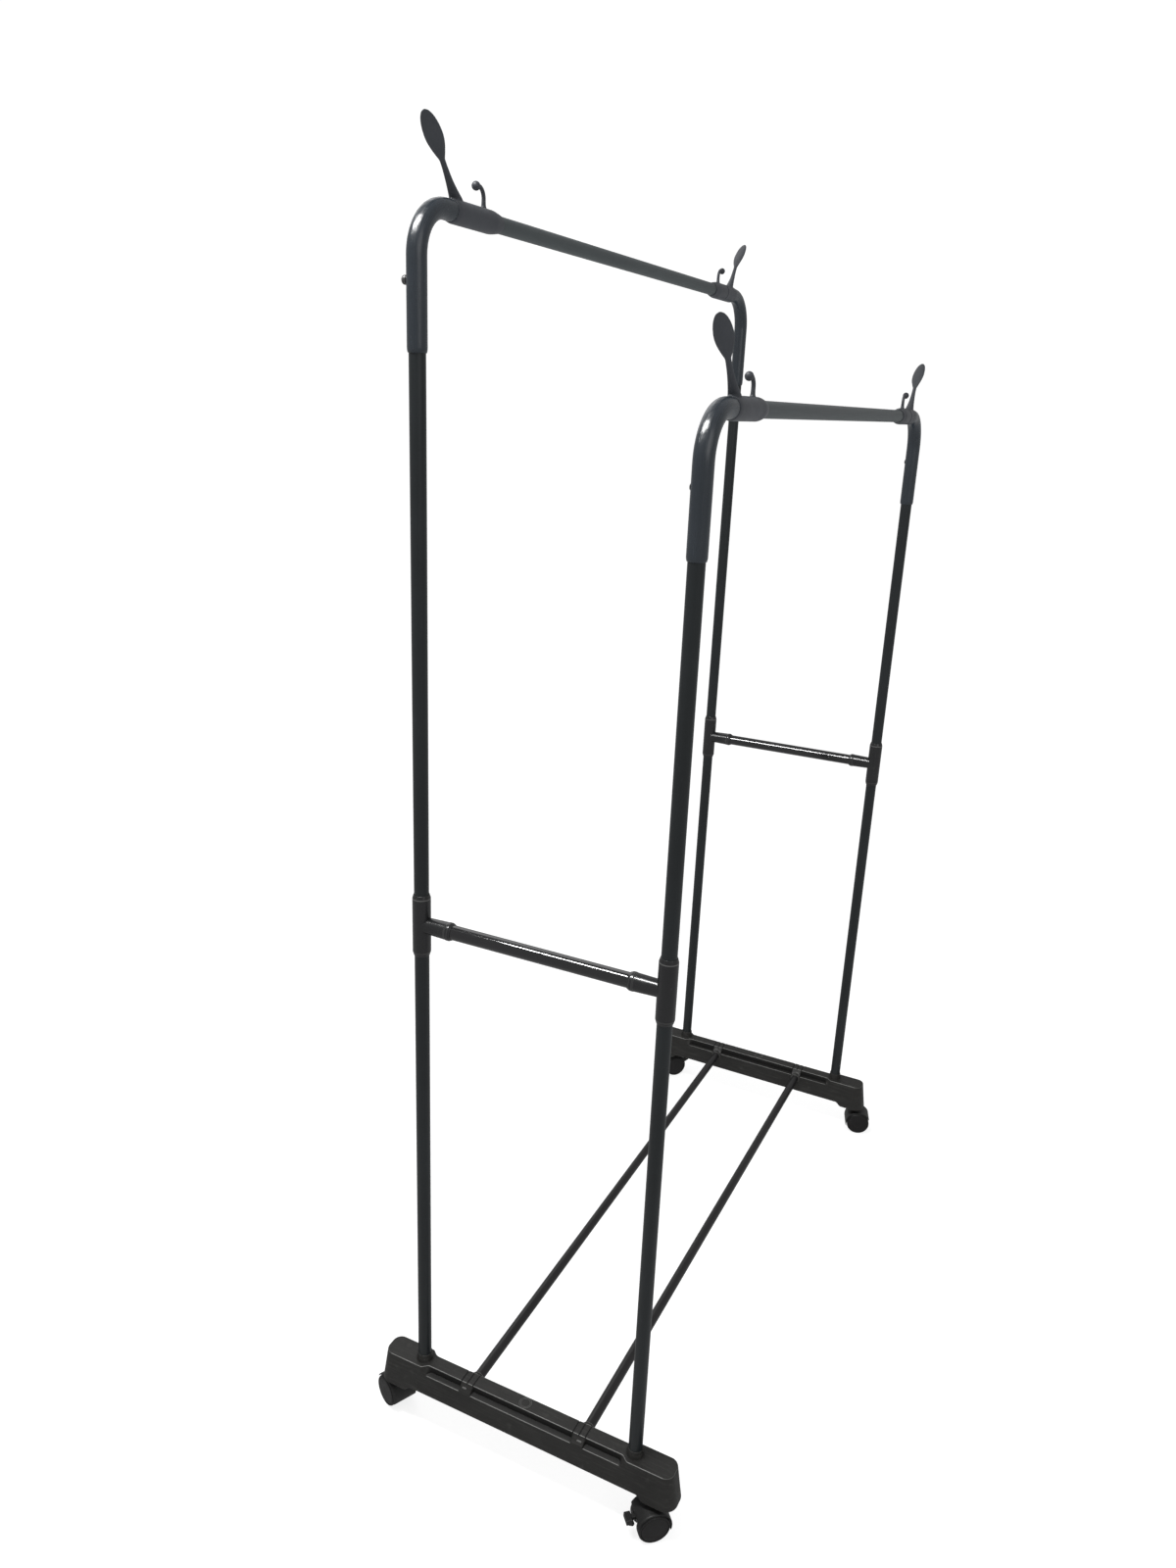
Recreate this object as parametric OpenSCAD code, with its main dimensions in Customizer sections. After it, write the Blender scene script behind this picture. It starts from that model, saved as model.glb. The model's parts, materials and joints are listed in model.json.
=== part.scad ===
// Double-rail garment rack on swivel casters.
// X runs along the rails, Y across the bases, Z up from the floor.
// The near end frame is at -X, the high rail is at +Y.

/* [Overall] */
// Distance between the posts, along the rails
span_x = 980; // [760:10:1200]
// Distance between the posts, across a base
span_y = 320; // [300:10:340]
// Height of the high rail's centre line
high_rail_z = 1550; // [1450:5:1700]
// Height of the low rail's centre line
low_rail_z = 1368; // [1200:5:1440]
// Height of the crossbars' centre line
crossbar_z = 765; // [600:5:850]

/* [Tubes] */
// Outside diameter of posts, crossbars and top rails
tube_d = 18; // [17:0.5:18]
// Outside diameter of the bent corner tubes
elbow_d = 21.4; // [21.2:0.1:21.6]
// Outside diameter of the two floor rods
rod_d = 14; // [8:0.5:14]
// Centre-line radius of a corner bend
bend_r = 50; // [40:1:60]
// Length from the rail's centre line to a corner tube's lower end
leg_drop = 141; // [125:1:170]

/* [Base] */
// Height of the base's top face
base_top_z = 103; // [100:1:110]
// Width of the centre beam's top plate
beam_top_w = 20; // [19:0.5:22]
// Height of the recess's floor on the beam's two sides
ledge_z = 92; // [90:0.5:94]
// Height of the floor rods' centre line
rod_z = 87; // [84:0.5:88]
// Distance between the two floor rods
rod_gap = 170; // [140:5:190]

/* [Hooks] */
// Length of a coat hook, along its lean
coat_hook_l = 92; // [70:1:110]
// Width of a coat hook's paddle
paddle_w = 20; // [14:0.5:24]
// Lean of a coat hook from upright
hook_lean = 39; // [25:1:45]
// Turn of a coat hook's face about the upright line
hook_turn = 18; // [0:1:25]

/* [Casters] */
// Wheel diameter
wheel_d = 43; // [38:1:44]
// Distance from the swivel line to the wheel axle
trail = 14; // [12:0.5:15]
// Caster angles at rest: near left, near right, far left, far right
caster_angles = [65, 132, -42, -72];

/* [Hidden] */
$fn = 96;
eps = 0.01;
fit = 0.05;
tube_r = tube_d / 2;
tube_wall = 1;
elbow_r = elbow_d / 2;
elbow_bore_r = tube_r + 0.08;
rod_r = rod_d / 2;
post_x = span_x / 2;
post_y = span_y / 2;

// Base body: a drafted bar with round corners
corner_top_r = 12.5;
corner_low_r = 17;
corner_x = 4.5;
corner_y = post_y + 46.5;
skirt_z = 54;
beam_low_z = 61;
skirt_from_y = post_y + 12;
skirt_slope = 10;
base_wall = 2.6;
neck_y = post_y - 14;
neck_l = 10;
rib_w = 18;
groove_pitch = 9;
groove_w = 1.4;
groove_depth = 0.8;
collar_h = 12;
post_floor_z = 66;
stem_y = post_y + 40.5;
cap_r = 9;

// Tees on the posts
tee_r = 11.2;
tee_h = 80;
tee_chamfer = 5;
stub_l = 45;

// Corner tubes, rail ends and hook sleeves
arm_end_a = post_x - 100;
rail_end_a = post_x - 54;
sleeve_r = 12.2;
hook_foot_z = 11;
sleeve_from_a = post_x - 155;
sleeve_taper_a = post_x - 138;
sleeve_to_a = post_x - 60;
post_stop = 51;
screw_drop = 72;
coat_hook_a = post_x - 72;
small_hook_a = post_x - 126.5;
ring_a = post_x - 106;

// Casters
wheel_r = wheel_d / 2;
wheel_in = 7;
wheel_out = 19;
axle_r = 3;
hood_in_r = wheel_r + 1.1;
hood_out_r = wheel_r + 2.7;
web_half = 6.5;
stem_r = 4;
hood_top_z = 50;

// Places a corner's parts: end is -1 near or 1 far, side is 1 left or -1 right.
// Inside, X is the distance from the rack's middle towards that end.
module at_corner(end, side) {
    translate([0, side * post_y, 0])
        if (end > 0) children(); else mirror([1, 0, 0]) children();
}

function rail_z(side) = side > 0 ? high_rail_z : low_rail_z;

module ring_bar(outer, inner, length) {
    difference() {
        cylinder(r = outer, h = length);
        translate([0, 0, -1]) cylinder(r = inner, h = length + 2);
    }
}

// A lying cylinder from x0 to x1
module bar_x(r, x0, x1) {
    translate([x0, 0, 0]) rotate([0, 90, 0]) cylinder(r = r, h = x1 - x0);
}

// A lying cylinder across, from y0 to y1
module bar_y(r, y0, y1) {
    translate([0, y0, 0]) rotate([-90, 0, 0]) cylinder(r = r, h = y1 - y0);
}

// ---- Base ----

module base_prism() {
    h = base_top_z - skirt_z;
    low_x = corner_x + corner_low_r;
    top_x = corner_x + corner_top_r;
    low_y = corner_y + corner_low_r;
    top_y = corner_y + corner_top_r;
    translate([0, corner_y, skirt_z]) rotate([90, 0, 0])
        linear_extrude(2 * corner_y)
            polygon([[-low_x, 0], [low_x, 0], [top_x, h], [-top_x, h]]);
    translate([-corner_x, 0, skirt_z]) rotate([90, 0, 90])
        linear_extrude(2 * corner_x)
            polygon([[-low_y, 0], [low_y, 0], [top_y, h], [-top_y, h]]);
    for (x = [-corner_x, corner_x], y = [-corner_y, corner_y])
        translate([x, y, skirt_z]) cylinder(r1 = corner_low_r, r2 = corner_top_r, h = h);
}

// What is cut from under the beam between the two skirts
module beam_underside() {
    reach = 40;
    slope_y = skirt_from_y + skirt_slope;
    translate([-reach, 0, 0]) rotate([90, 0, 90]) linear_extrude(2 * reach)
        polygon([[-slope_y, skirt_z - 1], [slope_y, skirt_z - 1], [slope_y, skirt_z],
                 [skirt_from_y, beam_low_z], [-skirt_from_y, beam_low_z], [-slope_y, skirt_z]]);
}

// The step in from the end blocks' width to the top plate's, on one side
module side_recess() {
    reach = 30;
    half = beam_top_w / 2;
    rod_y = rod_gap / 2;
    rib = rib_w / 2;
    translate([0, 0, ledge_z]) linear_extrude(base_top_z) difference() {
        polygon([[half, -neck_y], [half, neck_y], [corner_x + corner_top_r + 1, neck_y + neck_l],
                 [reach, neck_y + neck_l], [reach, -neck_y - neck_l],
                 [corner_x + corner_top_r + 1, -neck_y - neck_l]]);
        for (s = [-1, 1]) translate([0, s * rod_y - rib]) square([reach, rib_w]);
    }
    for (s = [-1, 1]) translate([0, s * rod_y + rib, 0]) rotate([90, 0, 0])
        linear_extrude(rib_w)
            polygon([[half, base_top_z], [corner_x + corner_top_r + 1, ledge_z],
                     [reach, ledge_z], [reach, base_top_z + 1], [half, base_top_z + 1]]);
}

module base_cavity() {
    low_x = corner_x + corner_low_r - base_wall;
    mid_x = corner_x + corner_top_r - base_wall + 0.6;
    plate_x = beam_top_w / 2 - base_wall;
    shelf_z = ledge_z - base_wall;
    roof_z = base_top_z - base_wall;
    reach_y = corner_y + 4;
    difference() {
        translate([0, reach_y, 0]) rotate([90, 0, 0]) linear_extrude(2 * reach_y)
            polygon([[-low_x, skirt_z - 1], [low_x, skirt_z - 1], [mid_x, shelf_z], [plate_x, shelf_z],
                     [plate_x, roof_z], [-plate_x, roof_z], [-plate_x, shelf_z], [-mid_x, shelf_z]]);
        for (s = [-1, 1]) {
            translate([0, s * post_y, beam_low_z]) cylinder(r = tube_r + 4, h = base_top_z);
            translate([0, s * stem_y, skirt_z - 1]) cylinder(r = stem_r + 4, h = base_top_z);
            translate([-40, s * rod_gap / 2 - rib_w / 2, rod_z - rod_r - 3.5]) cube([80, rib_w, 40]);
        }
    }
}

// Three fine grooves across the top plate, over each floor rod
module top_grooves() {
    for (s = [-1, 1], n = [-1, 0, 1])
        translate([-beam_top_w, s * rod_gap / 2 + n * groove_pitch - groove_w / 2, base_top_z - groove_depth])
            cube([2 * beam_top_w, groove_w, 5]);
}

// Drawn with +X towards the middle of the rack
module base_bar() {
    difference() {
        union() {
            difference() {
                base_prism();
                beam_underside();
                side_recess();
                mirror([1, 0, 0]) side_recess();
                top_grooves();
                base_cavity();
            }
            for (s = [-1, 1]) translate([0, s * post_y, base_top_z - eps])
                cylinder(r1 = tube_r + 2.4, r2 = tube_r + 0.9, h = collar_h);
        }
        for (s = [-1, 1]) {
            translate([0, s * post_y, post_floor_z]) cylinder(r = tube_r + fit, h = 80);
            translate([0, s * stem_y, skirt_z - 2]) cylinder(r = stem_r + 0.02, h = 34);
            translate([0, s * rod_gap / 2, rod_z]) bar_x(rod_r + fit, -12, 40);
        }
        translate([0, 0, base_top_z - 1.5]) cylinder(r = cap_r + fit, h = 5);
        translate([0, 0, base_top_z - 8]) cylinder(r = 3 + fit, h = 10);
    }
}

module base(end) {
    color([0.16, 0.16, 0.16]) translate([end * post_x, 0, 0])
        if (end < 0) base_bar(); else mirror([1, 0, 0]) base_bar();
}

module base_cap(end) {
    color([0.14, 0.14, 0.14]) translate([end * post_x, 0, base_top_z]) {
        translate([0, 0, -1.5]) cylinder(r = cap_r, h = 2.1);
        translate([0, 0, -7]) cylinder(r = 3, h = 6);
    }
}

// ---- Posts, tees, crossbars and floor rods ----

module lower_post(end, side) {
    color([0.13, 0.13, 0.14]) translate([end * post_x, side * post_y, post_floor_z])
        ring_bar(tube_r, tube_r - tube_wall, crossbar_z - 0.5 - post_floor_z);
}

module upper_post(end, side) {
    color([0.13, 0.14, 0.15]) translate([end * post_x, side * post_y, crossbar_z + 0.5])
        ring_bar(tube_r, tube_r - tube_wall, rail_z(side) - post_stop - crossbar_z - 0.5);
}

// A sleeve with chamfered ends, standing on its centre
module chamfered_sleeve(outer, lip, length, chamfer) {
    rotate_extrude() polygon([[0, 0], [lip, 0], [outer, chamfer], [outer, length - chamfer],
                              [lip, length], [0, length]]);
}

module tee(end, side) {
    color([0.12, 0.12, 0.13]) translate([end * post_x, side * post_y, crossbar_z]) difference() {
        union() {
            translate([0, 0, -tee_h / 2]) chamfered_sleeve(tee_r, tube_r + 0.8, tee_h, tee_chamfer);
            rotate([side * 90, 0, 0]) difference() {
                chamfered_sleeve(tee_r, tube_r + 0.8, stub_l, tee_chamfer);
                translate([0, 0, -tee_r]) cylinder(r = 2 * tee_r, h = tee_r + 4);
            }
        }
        translate([0, 0, -tee_h]) cylinder(r = tube_r + fit, h = 2 * tee_h);
        rotate([side * 90, 0, 0]) translate([0, 0, tube_r + 2]) cylinder(r = tube_r + fit, h = stub_l);
    }
}

module crossbar(end) {
    half = post_y - tube_r - 4;
    color([0.08, 0.08, 0.09]) translate([end * post_x, 0, crossbar_z]) difference() {
        bar_y(tube_r, -half, half);
        bar_y(tube_r - tube_wall, -half - 1, half + 1);
    }
}

module floor_rod(side) {
    half = post_x + 11;
    color([0.12, 0.12, 0.13]) translate([0, side * rod_gap / 2, rod_z]) difference() {
        bar_x(rod_r, -half, half);
        bar_x(rod_r - tube_wall, -half - 1, half + 1);
    }
}

// ---- Corner tubes, rails and hook sleeves ----

module elbow_solid(r, lip) {
    leg_top = -bend_r;
    translate([post_x, 0, -leg_drop]) rotate_extrude()
        polygon([[0, 0], [lip, 0], [r, 4], [r, leg_drop + leg_top], [0, leg_drop + leg_top]]);
    translate([post_x - bend_r, 0, -bend_r]) rotate([90, 0, 0])
        rotate_extrude(angle = 90) translate([bend_r, 0]) circle(r = r);
    bar_x(r, arm_end_a, post_x - bend_r);
}

module elbow(end, side) {
    color([0.2, 0.22, 0.25]) at_corner(end, side) translate([0, 0, rail_z(side)]) difference() {
        elbow_solid(elbow_r, elbow_r - 1);
        translate([post_x, 0, -leg_drop - 1]) cylinder(r = elbow_bore_r, h = leg_drop - bend_r + 1);
        translate([post_x - bend_r, 0, -bend_r]) rotate([90, 0, 0])
            rotate_extrude(angle = 90) translate([bend_r, 0]) circle(r = elbow_bore_r);
        bar_x(elbow_bore_r, arm_end_a - 1, post_x - bend_r);
        translate([post_x, 0, -screw_drop]) bar_y(2 + fit, 0, 15);
    }
}

module rail(side) {
    color([0.25, 0.28, 0.27]) translate([0, side * post_y, rail_z(side)]) difference() {
        bar_x(tube_r, -rail_end_a, rail_end_a);
        bar_x(tube_r - tube_wall, -rail_end_a - 1, rail_end_a + 1);
    }
}

// Half-width of a coat hook at a distance s along it: foot, neck, then an egg-shaped paddle
function hook_half_w(s) =
    let (t = s / coat_hook_l)
    t < 0.45 ? 3 + 4 * pow(1 - t / 0.45, 2)
             : 3 + (paddle_w / 2 - 3) * sin(min(90, 90 * (t - 0.45) / 0.27));

// The paddle's end is a half ellipse
function hook_tip_w(s) =
    let (t = (s / coat_hook_l - 0.72) / 0.28)
    paddle_w / 2 * sqrt(max(0, 1 - t * t));

function hook_w(s) = s < 0.72 * coat_hook_l ? hook_half_w(s) : hook_tip_w(s);

module coat_hook() {
    steps = 40;
    foot = 12;
    thick = 4;
    right = [for (n = [0:steps]) [hook_w(coat_hook_l * n / steps), coat_hook_l * n / steps]];
    left = [for (n = [steps - 1:-1:0]) [-right[n][0], right[n][1]]];
    rotate([0, hook_lean, 0]) rotate([0, 0, 90 - hook_turn]) rotate([90, 0, 0]) translate([0, 0, -thick / 2])
        linear_extrude(thick) polygon(concat([[hook_w(0), -foot]], right, left, [[-hook_w(0), -foot]]));
}

// A short stem that curls over to a ball, on the side away from the rail.
// A slightly wider knuckle joins the stem to the curl.
module small_hook() {
    wire_r = 2.4;
    ball_r = 4.8;
    curl_r = 11;
    stem_top = 21;
    translate([0, 0, sleeve_r - 2]) cylinder(r = wire_r, h = stem_top - sleeve_r + 1.6);
    translate([0, 0, stem_top]) sphere(r = wire_r + 0.3);
    translate([curl_r, 0, stem_top]) rotate([90, 0, 0]) rotate([0, 0, 70])
        rotate_extrude(angle = 108) translate([curl_r, 0]) circle(r = wire_r);
    translate([curl_r + 4.6, 0, stem_top + 10]) sphere(r = ball_r);
}

module hook_sleeve(end, side) {
    color([0.24, 0.26, 0.28]) at_corner(end, side) translate([0, 0, rail_z(side)]) difference() {
        union() {
            rotate([0, 90, 0]) rotate_extrude() polygon([
                [0, sleeve_from_a], [tube_r + 0.8, sleeve_from_a], [sleeve_r, sleeve_taper_a],
                [sleeve_r, sleeve_to_a - 1], [sleeve_r - 1, sleeve_to_a], [0, sleeve_to_a]]);
            translate([coat_hook_a, 0, hook_foot_z]) coat_hook();
            translate([small_hook_a, 0, 0]) small_hook();
        }
        bar_x(tube_r + fit, sleeve_from_a - 1, sleeve_to_a);
        bar_x(elbow_r + fit, arm_end_a - 0.5, sleeve_to_a + 1);
        if (end > 0) translate([ring_a, 0, 0]) difference() {
            bar_x(sleeve_r + 1, -2, 2);
            bar_x(sleeve_r - 0.7, -3, 3);
        }
    }
}

// The near left screw stands proud, the others sit low in the tube
module lock_screw(end, side) {
    proud = end < 0 && side > 0;
    head_from = elbow_r + 0.1;
    head_r = proud ? 4.8 : 3.2;
    head_h = proud ? 6.4 : 1;
    color([0.1, 0.1, 0.11]) translate([end * post_x, side * post_y, rail_z(side) - screw_drop])
        rotate([-90, 0, 0]) rotate_extrude() polygon([
            [0, tube_r + 0.1], [2, tube_r + 0.1], [2, head_from], [head_r * 0.7, head_from],
            [head_r, head_from + head_h * 0.3], [head_r, head_from + head_h * 0.6],
            [head_r * 0.55, head_from + head_h], [0, head_from + head_h]]);
}

// ---- Casters: drawn with the swivel line at the origin, the wheels towards +X ----

module at_caster(end, side) {
    index = (end < 0 ? 0 : 2) + (side > 0 ? 0 : 1);
    translate([end * post_x, side * stem_y, 0]) rotate([0, 0, caster_angles[index]]) children();
}

module caster_stem(end, side) {
    color([0.55, 0.56, 0.58]) at_caster(end, side) {
        translate([0, 0, 27]) cylinder(r = stem_r, h = 58);
        translate([0, 0, hood_top_z + 0.3]) cylinder(r = 6.3, h = skirt_z - hood_top_z - 0.4);
    }
}

// A slice of a lying disc between two angles, wide enough for the hood's cuts
module pie(from_angle, to_angle, half_width) {
    reach = 40;
    translate([0, half_width, 0]) rotate([90, 0, 0]) linear_extrude(2 * half_width)
        polygon(concat([[0, 0]], [for (a = [from_angle:15:to_angle]) reach * [cos(a), sin(a)]]));
}

module caster_hood(end, side) {
    slot_half = 3.3;
    color([0.14, 0.14, 0.14]) at_caster(end, side) difference() {
        union() {
            translate([trail, 0, wheel_r]) {
                difference() {
                    bar_y(hood_out_r, -wheel_out + 0.4, wheel_out - 0.4);
                    bar_y(hood_in_r, -wheel_out, wheel_out);
                    pie(195, 390, 30);
                }
                bar_y(wheel_r - 3, -web_half, web_half);
                intersection() {
                    bar_y(hood_in_r + 0.5, -web_half, web_half);
                    pie(30, 195, 30);
                }
            }
            translate([0, 0, 24]) cylinder(r = web_half, h = hood_top_z - 24);
        }
        translate([0, 0, 25]) cylinder(r = stem_r + fit, h = 40);
        translate([trail, 0, wheel_r]) {
            bar_y(axle_r + 0.02, -20, 20);
            translate([9, -slot_half, 0]) cube([30, 2 * slot_half, 30]);
            translate([14, 0, 8]) bar_y(1.55, -20, 20);
        }
    }
}

module caster_axle(end, side) {
    color([0.6, 0.6, 0.62]) at_caster(end, side) translate([trail, 0, wheel_r])
        bar_y(axle_r, -wheel_out + 2.2, wheel_out - 2.2);
}

// One tyre with a closed outer face; hand is 1 or -1
module wheel(end, side, hand) {
    bore = axle_r + fit;
    width = wheel_out - wheel_in;
    color([0.11, 0.11, 0.11]) at_caster(end, side) translate([trail, hand * wheel_in, wheel_r])
        rotate([-hand * 90, 0, 0]) rotate_extrude() polygon([
            [bore, 0], [wheel_r - 2, 0], [wheel_r, 2], [wheel_r, width - 2.5], [wheel_r - 1.6, width],
            [wheel_r - 3, width], [wheel_r - 3.6, width - 0.8], [0, width - 0.8], [0, width - 2],
            [bore, width - 2]]);
}

module brake_lever(end, side) {
    tongue = 3;
    pedal = 7.5;
    color([0.22, 0.22, 0.22]) at_caster(end, side) translate([trail, 0, wheel_r]) {
        translate([14, 0, 8]) bar_y(1.5, -5.8, 5.8);
        difference() {
            union() {
                translate([10, -tongue, 5]) cube([18, 2 * tongue, 6]);
                translate([25.5, -pedal, 1]) cube([9, 2 * pedal, 10]);
            }
            translate([25.5, 0, -4]) rotate([0, -25, 0]) translate([0, -20, -8]) cube([30, 40, 10]);
        }
    }
}

base(-1);  // base_near
base(1);  // base_far
base_cap(-1);  // base_cap_near
base_cap(1);  // base_cap_far
lower_post(-1, 1);  // lower_post_near_left
lower_post(-1, -1);  // lower_post_near_right
lower_post(1, 1);  // lower_post_far_left
lower_post(1, -1);  // lower_post_far_right
upper_post(-1, 1);  // upper_post_near_left
upper_post(-1, -1);  // upper_post_near_right
upper_post(1, 1);  // upper_post_far_left
upper_post(1, -1);  // upper_post_far_right
tee(-1, 1);  // tee_near_left
tee(-1, -1);  // tee_near_right
tee(1, 1);  // tee_far_left
tee(1, -1);  // tee_far_right
crossbar(-1);  // crossbar_near
crossbar(1);  // crossbar_far
floor_rod(1);  // floor_rod_left
floor_rod(-1);  // floor_rod_right
elbow(-1, 1);  // elbow_near_left
elbow(-1, -1);  // elbow_near_right
elbow(1, 1);  // elbow_far_left
elbow(1, -1);  // elbow_far_right
rail(1);  // rail_high
rail(-1);  // rail_low
hook_sleeve(-1, 1);  // hook_sleeve_near_left
hook_sleeve(-1, -1);  // hook_sleeve_near_right
hook_sleeve(1, 1);  // hook_sleeve_far_left
hook_sleeve(1, -1);  // hook_sleeve_far_right
lock_screw(-1, 1);  // lock_screw_near_left
lock_screw(-1, -1);  // lock_screw_near_right
lock_screw(1, 1);  // lock_screw_far_left
lock_screw(1, -1);  // lock_screw_far_right
caster_stem(-1, 1);  // caster_stem_near_left
caster_stem(-1, -1);  // caster_stem_near_right
caster_stem(1, 1);  // caster_stem_far_left
caster_stem(1, -1);  // caster_stem_far_right
caster_hood(-1, 1);  // caster_hood_near_left
caster_hood(-1, -1);  // caster_hood_near_right
caster_hood(1, 1);  // caster_hood_far_left
caster_hood(1, -1);  // caster_hood_far_right
caster_axle(-1, 1);  // caster_axle_near_left
caster_axle(-1, -1);  // caster_axle_near_right
caster_axle(1, 1);  // caster_axle_far_left
caster_axle(1, -1);  // caster_axle_far_right
wheel(-1, 1, 1);  // wheel_a_near_left
wheel(-1, -1, 1);  // wheel_a_near_right
wheel(1, 1, 1);  // wheel_a_far_left
wheel(1, -1, 1);  // wheel_a_far_right
wheel(-1, 1, -1);  // wheel_b_near_left
wheel(-1, -1, -1);  // wheel_b_near_right
wheel(1, 1, -1);  // wheel_b_far_left
wheel(1, -1, -1);  // wheel_b_far_right
brake_lever(-1, -1);  // brake_lever_near_right
brake_lever(1, 1);  // brake_lever_far_left
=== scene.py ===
import json
import math

import bmesh
import bpy
import numpy as np
from mathutils import Matrix, Vector


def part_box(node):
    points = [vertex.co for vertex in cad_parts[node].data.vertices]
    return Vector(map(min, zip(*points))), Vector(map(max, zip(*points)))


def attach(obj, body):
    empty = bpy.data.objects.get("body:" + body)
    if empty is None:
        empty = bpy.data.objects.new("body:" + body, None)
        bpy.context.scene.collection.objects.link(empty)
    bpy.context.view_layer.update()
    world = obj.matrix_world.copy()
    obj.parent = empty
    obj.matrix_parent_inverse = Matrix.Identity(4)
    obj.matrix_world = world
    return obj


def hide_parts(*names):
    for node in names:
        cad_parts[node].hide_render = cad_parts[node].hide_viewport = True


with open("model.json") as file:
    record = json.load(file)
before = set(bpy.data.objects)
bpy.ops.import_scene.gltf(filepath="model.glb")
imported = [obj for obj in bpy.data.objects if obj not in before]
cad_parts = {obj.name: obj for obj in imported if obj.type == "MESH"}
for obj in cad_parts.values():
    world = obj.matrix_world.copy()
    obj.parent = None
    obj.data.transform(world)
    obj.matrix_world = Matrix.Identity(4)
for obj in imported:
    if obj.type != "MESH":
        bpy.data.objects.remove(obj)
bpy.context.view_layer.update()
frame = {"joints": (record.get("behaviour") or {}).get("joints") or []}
joints = {j["name"]: j for j in frame["joints"]}
MM = 0.001
UP = Vector((0, 0, 1))
ENDS = {"near": -1, "far": 1}  # the way each end of the rack faces along X
SIDES = {"left": 1, "right": -1}  # the way each side faces along Y
LEVEL = {"left": "high", "right": "low"}  # the high rail stands on the left posts
CORNERS = [(end, side) for end in ENDS for side in SIDES]


def centre(node):
    low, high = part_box(node)
    return (low + high) / 2


def thickness(node, *axes):
    """Half of a node's size along the widest of the given axes: a tube's outer radius."""
    low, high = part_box(node)
    return max(high[i] - low[i] for i in axes) / 2


POST_R = thickness("upper_post_near_left", 0, 1)
RAIL_R = thickness("rail_high", 1, 2)
ROD_R = thickness("floor_rod_left", 1, 2)
ELBOW_R = thickness("elbow_near_left", 1)


# ---------------------------------------------------------------- materials


class Nodes:
    """A node tree being built: add() makes a node and sets its inputs, linking sockets and setting values."""

    def __init__(self, tree):
        self.tree = tree

    def add(self, kind, options=None, **inputs):
        node = self.tree.nodes.new(kind)
        for key, value in (options or {}).items():
            setattr(node, key, value)
        for key, value in inputs.items():
            self.put(node.inputs[key.replace("_", " ")], value)
        return node

    def put(self, socket, value):
        if isinstance(value, bpy.types.NodeSocket):
            self.tree.links.new(value, socket)
        else:
            socket.default_value = value

    def math(self, operation, a, b=0.0):
        node = self.tree.nodes.new("ShaderNodeMath")
        node.operation = operation
        self.put(node.inputs[0], a)
        self.put(node.inputs[1], b)
        return node.outputs[0]

    def noise(self, vector, scale, detail=3.0, rough=0.55, stretch=None):
        if stretch:
            mapping = self.add("ShaderNodeMapping", Vector=vector)
            mapping.inputs["Scale"].default_value = stretch
            vector = mapping.outputs[0]
        node = self.add("ShaderNodeTexNoise", Vector=vector, Scale=scale, Detail=detail, Roughness=rough)
        return node.outputs["Fac"]

    def span(self, value, low, high, from_low=0.3, from_high=0.7):
        node = self.tree.nodes.new("ShaderNodeMapRange")
        ranges = {"From Min": from_low, "From Max": from_high, "To Min": low, "To Max": high}
        for key, number in ranges.items():
            node.inputs[key].default_value = number
        self.put(node.inputs["Value"], value)
        return node.outputs[0]

    def mix(self, fac, a, b):
        node = self.tree.nodes.new("ShaderNodeMix")
        node.data_type = "RGBA"
        self.put(node.inputs[0], fac)
        self.put(node.inputs[6], a)
        self.put(node.inputs[7], b)
        return node.outputs[2]


def rgb(r, g, b):
    return (r, g, b, 1.0)


def finish_material(name, build, **shader):
    """A Principled material. build(n) returns the sockets to link; shader holds plain values."""
    mat = bpy.data.materials.new(name)
    mat.use_nodes = True
    tree = mat.node_tree
    bsdf = tree.nodes["Principled BSDF"]
    for key, value in shader.items():
        bsdf.inputs[key.replace("_", " ")].default_value = value
    for key, socket in build(Nodes(tree)).items():
        tree.links.new(socket, bsdf.inputs[key])
    return mat


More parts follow.
